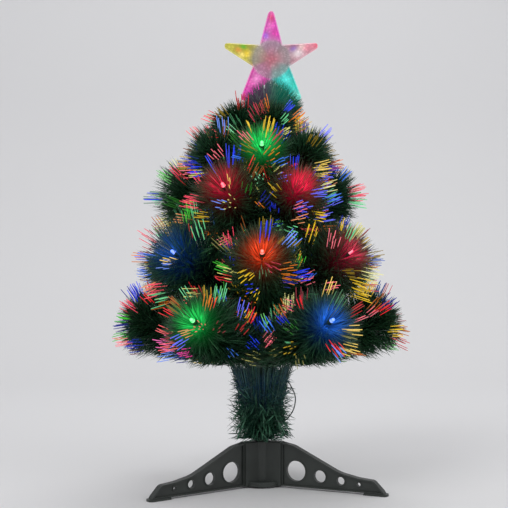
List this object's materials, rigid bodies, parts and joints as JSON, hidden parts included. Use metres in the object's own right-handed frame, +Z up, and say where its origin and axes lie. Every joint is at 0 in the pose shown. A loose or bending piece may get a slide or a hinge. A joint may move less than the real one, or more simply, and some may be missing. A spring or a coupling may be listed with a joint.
{
  "type": "fiber optic christmas tree",
  "caption": "Table-top tree of hinged tinsel branches with glowing fibre ends, coloured lamps and a lit clear star, on a dark stand with slide-in legs.",
  "frame": {"origin": "on the floor under the pole, at the middle of the tree's extents", "axes": "+Z up along the pole, the front of the star faces -Y, +X to the viewer's right"},
  "size_m": [0.3848, 0.3492, 0.6401],
  "materials": {
    "stand_plastic": "moulded, fine spark texture",
    "pole_plastic": "extruded",
    "leader_wire": "dark green enamel on steel wire",
    "collar_plastic": "moulded",
    "pin_steel": "drawn wire",
    "source_plastic": "moulded",
    "source_led_lens": "clear blue lens",
    "fibre": "clear acrylic strands",
    "trunk_tinsel": "soft wrap of cut film needles",
    "needle_tinsel": "soft brush of cut film needles, satin",
    "inlet_plastic": "moulded",
    "lead_sleeve": "smooth sleeve",
    "star_clear": "clear, lightly frosted inside",
    "board": "white solder mask",
    "star_led_lens": "clear lens",
    "socket_clear": "clear",
    "lamp_blue": "tinted lens",
    "lamp_green": "tinted lens",
    "lamp_red": "tinted lens",
    "lamp_orange": "tinted lens",
    "lamp_pink": "tinted lens",
    "lamp_amber": "tinted lens"
  },
  "bodies": {
    "stand": {"stand_hub": "stand_plastic"},
    "leg_left": {"leg_left": "stand_plastic"},
    "leg_right": {"leg_right": "stand_plastic"},
    "leg_back": {"leg_back": "stand_plastic"},
    "trunk": {"pole": "pole_plastic", "leader": "leader_wire", "branch_collars": "collar_plastic", "top_collar": "collar_plastic", "hinge_pins": "pin_steel", "source_housing": "source_plastic", "source_leds": "source_led_lens", "fibre_harness": "fibre", "trunk_tinsel": "trunk_tinsel", "leader_tinsel": "needle_tinsel", "power_inlet": "inlet_plastic", "lamp_lead": "lead_sleeve"},
    "star": {"star_front_shell": "star_clear", "star_back_shell": "star_clear", "star_light_board": "board", "star_leds": "star_led_lens", "star_socket": "socket_clear"},
    "branch_1_1": {"tier1_branch_1": "needle_tinsel", "lamp_1": "lamp_blue"},
    "branch_1_2": {"tier1_branch_2": "needle_tinsel"},
    "branch_1_3": {"tier1_branch_3": "needle_tinsel", "lamp_3": "lamp_green"},
    "branch_1_4": {"tier1_branch_4": "needle_tinsel", "lamp_4": "lamp_amber"},
    "branch_1_5": {"tier1_branch_5": "needle_tinsel"},
    "branch_1_6": {"tier1_branch_6": "needle_tinsel", "lamp_2": "lamp_green"},
    "branch_2_1": {"tier2_branch_1": "needle_tinsel", "lamp_5": "lamp_orange"},
    "branch_2_2": {"tier2_branch_2": "needle_tinsel", "lamp_6": "lamp_pink"},
    "branch_2_3": {"tier2_branch_3": "needle_tinsel"},
    "branch_2_4": {"tier2_branch_4": "needle_tinsel", "lamp_8": "lamp_red"},
    "branch_2_5": {"tier2_branch_5": "needle_tinsel"},
    "branch_2_6": {"tier2_branch_6": "needle_tinsel", "lamp_7": "lamp_blue"},
    "branch_3_1": {"tier3_branch_1": "needle_tinsel", "lamp_9": "lamp_red"},
    "branch_3_2": {"tier3_branch_2": "needle_tinsel"},
    "branch_3_3": {"tier3_branch_3": "needle_tinsel", "lamp_11": "lamp_blue"},
    "branch_3_4": {"tier3_branch_4": "needle_tinsel"},
    "branch_3_5": {"tier3_branch_5": "needle_tinsel"},
    "branch_3_6": {"tier3_branch_6": "needle_tinsel", "lamp_10": "lamp_red"},
    "branch_4_1": {"tier4_branch_1": "needle_tinsel", "lamp_12": "lamp_green"},
    "branch_4_2": {"tier4_branch_2": "needle_tinsel"},
    "branch_4_3": {"tier4_branch_3": "needle_tinsel"},
    "branch_4_4": {"tier4_branch_4": "needle_tinsel"},
    "branch_4_5": {"tier4_branch_5": "needle_tinsel"},
    "branch_4_6": {"tier4_branch_6": "needle_tinsel"},
    "branch_5_1": {"tier5_branch_1": "needle_tinsel"},
    "branch_5_2": {"tier5_branch_2": "needle_tinsel"},
    "branch_5_3": {"tier5_branch_3": "needle_tinsel"}
  },
  "joints": [
    {"name": "trunk_lift", "type": "slide", "parent": "stand", "child": "trunk", "axis": [0, 0, 1], "range_m": [0, 0.055]},
    {"name": "star_lift", "type": "slide", "parent": "trunk", "child": "star", "axis": [0, 0, 1], "range_m": [0, 0.035]},
    {"name": "leg_left_slide", "type": "slide", "parent": "stand", "child": "leg_left", "axis": [0, 0, 1], "range_m": [-0.058, 0]},
    {"name": "leg_right_slide", "type": "slide", "parent": "stand", "child": "leg_right", "axis": [0, 0, 1], "range_m": [-0.058, 0]},
    {"name": "leg_back_slide", "type": "slide", "parent": "stand", "child": "leg_back", "axis": [0, 0, 1], "range_m": [-0.058, 0]},
    {"name": "hinge_1_1", "type": "hinge", "parent": "trunk", "child": "branch_1_1", "pos_m": [0.007, -0.01212, 0.158], "axis": [-0.866, -0.5, 0], "range_deg": [0, 26]},
    {"name": "hinge_1_2", "type": "hinge", "parent": "trunk", "child": "branch_1_2", "pos_m": [0.014, 0, 0.158], "axis": [0, -1, 0], "range_deg": [0, 26]},
    {"name": "hinge_1_3", "type": "hinge", "parent": "trunk", "child": "branch_1_3", "pos_m": [0.007, 0.01212, 0.158], "axis": [0.866, -0.5, 0], "range_deg": [0, 26]},
    {"name": "hinge_1_4", "type": "hinge", "parent": "trunk", "child": "branch_1_4", "pos_m": [-0.007, 0.01212, 0.158], "axis": [0.866, 0.5, 0], "range_deg": [0, 26]},
    {"name": "hinge_1_5", "type": "hinge", "parent": "trunk", "child": "branch_1_5", "pos_m": [-0.014, 0, 0.158], "axis": [0, 1, 0], "range_deg": [0, 26]},
    {"name": "hinge_1_6", "type": "hinge", "parent": "trunk", "child": "branch_1_6", "pos_m": [-0.007, -0.01212, 0.158], "axis": [-0.866, 0.5, 0], "range_deg": [0, 26]},
    {"name": "hinge_2_1", "type": "hinge", "parent": "trunk", "child": "branch_2_1", "pos_m": [0, -0.014, 0.244], "axis": [-1, 0, 0], "range_deg": [0, 22]},
    {"name": "hinge_2_2", "type": "hinge", "parent": "trunk", "child": "branch_2_2", "pos_m": [0.01212, -0.007, 0.244], "axis": [-0.5, -0.866, 0], "range_deg": [0, 22]},
    {"name": "hinge_2_3", "type": "hinge", "parent": "trunk", "child": "branch_2_3", "pos_m": [0.01212, 0.007, 0.244], "axis": [0.5, -0.866, 0], "range_deg": [0, 22]},
    {"name": "hinge_2_4", "type": "hinge", "parent": "trunk", "child": "branch_2_4", "pos_m": [0, 0.014, 0.244], "axis": [1, 0, 0], "range_deg": [0, 22]},
    {"name": "hinge_2_5", "type": "hinge", "parent": "trunk", "child": "branch_2_5", "pos_m": [-0.01212, 0.007, 0.244], "axis": [0.5, 0.866, 0], "range_deg": [0, 22]},
    {"name": "hinge_2_6", "type": "hinge", "parent": "trunk", "child": "branch_2_6", "pos_m": [-0.01212, -0.007, 0.244], "axis": [-0.5, 0.866, 0], "range_deg": [0, 22]},
    {"name": "hinge_3_1", "type": "hinge", "parent": "trunk", "child": "branch_3_1", "pos_m": [0.007, -0.01212, 0.334], "axis": [-0.866, -0.5, 0], "range_deg": [0, 12]},
    {"name": "hinge_3_2", "type": "hinge", "parent": "trunk", "child": "branch_3_2", "pos_m": [0.014, 0, 0.334], "axis": [0, -1, 0], "range_deg": [0, 12]},
    {"name": "hinge_3_3", "type": "hinge", "parent": "trunk", "child": "branch_3_3", "pos_m": [0.007, 0.01212, 0.334], "axis": [0.866, -0.5, 0], "range_deg": [0, 12]},
    {"name": "hinge_3_4", "type": "hinge", "parent": "trunk", "child": "branch_3_4", "pos_m": [-0.007, 0.01212, 0.334], "axis": [0.866, 0.5, 0], "range_deg": [0, 12]},
    {"name": "hinge_3_5", "type": "hinge", "parent": "trunk", "child": "branch_3_5", "pos_m": [-0.014, 0, 0.334], "axis": [0, 1, 0], "range_deg": [0, 12]},
    {"name": "hinge_3_6", "type": "hinge", "parent": "trunk", "child": "branch_3_6", "pos_m": [-0.007, -0.01212, 0.334], "axis": [-0.866, 0.5, 0], "range_deg": [0, 12]},
    {"name": "hinge_4_1", "type": "hinge", "parent": "trunk", "child": "branch_4_1", "pos_m": [0, -0.014, 0.396], "axis": [-1, 0, 0], "range_deg": [0, 12]},
    {"name": "hinge_4_2", "type": "hinge", "parent": "trunk", "child": "branch_4_2", "pos_m": [0.01212, -0.007, 0.396], "axis": [-0.5, -0.866, 0], "range_deg": [0, 12]},
    {"name": "hinge_4_3", "type": "hinge", "parent": "trunk", "child": "branch_4_3", "pos_m": [0.01212, 0.007, 0.396], "axis": [0.5, -0.866, 0], "range_deg": [0, 12]},
    {"name": "hinge_4_4", "type": "hinge", "parent": "trunk", "child": "branch_4_4", "pos_m": [0, 0.014, 0.396], "axis": [1, 0, 0], "range_deg": [0, 12]},
    {"name": "hinge_4_5", "type": "hinge", "parent": "trunk", "child": "branch_4_5", "pos_m": [-0.01212, 0.007, 0.396], "axis": [0.5, 0.866, 0], "range_deg": [0, 12]},
    {"name": "hinge_4_6", "type": "hinge", "parent": "trunk", "child": "branch_4_6", "pos_m": [-0.01212, -0.007, 0.396], "axis": [-0.5, 0.866, 0], "range_deg": [0, 12]},
    {"name": "hinge_5_1", "type": "hinge", "parent": "trunk", "child": "branch_5_1", "pos_m": [0.007, -0.01212, 0.447], "axis": [-0.866, -0.5, 0], "range_deg": [0, 4]},
    {"name": "hinge_5_2", "type": "hinge", "parent": "trunk", "child": "branch_5_2", "pos_m": [0.007, 0.01212, 0.447], "axis": [0.866, -0.5, 0], "range_deg": [0, 4]},
    {"name": "hinge_5_3", "type": "hinge", "parent": "trunk", "child": "branch_5_3", "pos_m": [-0.014, 0, 0.447], "axis": [0, 1, 0], "range_deg": [0, 4]}
  ],
  "couplings": [
    {"joint": "hinge_1_2", "follows": "hinge_1_1", "ratio": 1},
    {"joint": "hinge_1_3", "follows": "hinge_1_1", "ratio": 1},
    {"joint": "hinge_1_4", "follows": "hinge_1_1", "ratio": 1},
    {"joint": "hinge_1_5", "follows": "hinge_1_1", "ratio": 1},
    {"joint": "hinge_1_6", "follows": "hinge_1_1", "ratio": 1},
    {"joint": "hinge_2_1", "follows": "hinge_1_1", "ratio": 0.8461},
    {"joint": "hinge_2_2", "follows": "hinge_1_1", "ratio": 0.8461},
    {"joint": "hinge_2_3", "follows": "hinge_1_1", "ratio": 0.8461},
    {"joint": "hinge_2_4", "follows": "hinge_1_1", "ratio": 0.8461},
    {"joint": "hinge_2_5", "follows": "hinge_1_1", "ratio": 0.8461},
    {"joint": "hinge_2_6", "follows": "hinge_1_1", "ratio": 0.8461},
    {"joint": "hinge_3_1", "follows": "hinge_1_1", "ratio": 0.4615},
    {"joint": "hinge_3_2", "follows": "hinge_1_1", "ratio": 0.4615},
    {"joint": "hinge_3_3", "follows": "hinge_1_1", "ratio": 0.4615},
    {"joint": "hinge_3_4", "follows": "hinge_1_1", "ratio": 0.4615},
    {"joint": "hinge_3_5", "follows": "hinge_1_1", "ratio": 0.4615},
    {"joint": "hinge_3_6", "follows": "hinge_1_1", "ratio": 0.4615},
    {"joint": "hinge_4_1", "follows": "hinge_1_1", "ratio": 0.4615},
    {"joint": "hinge_4_2", "follows": "hinge_1_1", "ratio": 0.4615},
    {"joint": "hinge_4_3", "follows": "hinge_1_1", "ratio": 0.4615},
    {"joint": "hinge_4_4", "follows": "hinge_1_1", "ratio": 0.4615},
    {"joint": "hinge_4_5", "follows": "hinge_1_1", "ratio": 0.4615},
    {"joint": "hinge_4_6", "follows": "hinge_1_1", "ratio": 0.4615},
    {"joint": "hinge_5_1", "follows": "hinge_1_1", "ratio": 0.1538},
    {"joint": "hinge_5_2", "follows": "hinge_1_1", "ratio": 0.1538},
    {"joint": "hinge_5_3", "follows": "hinge_1_1", "ratio": 0.1538}
  ]
}
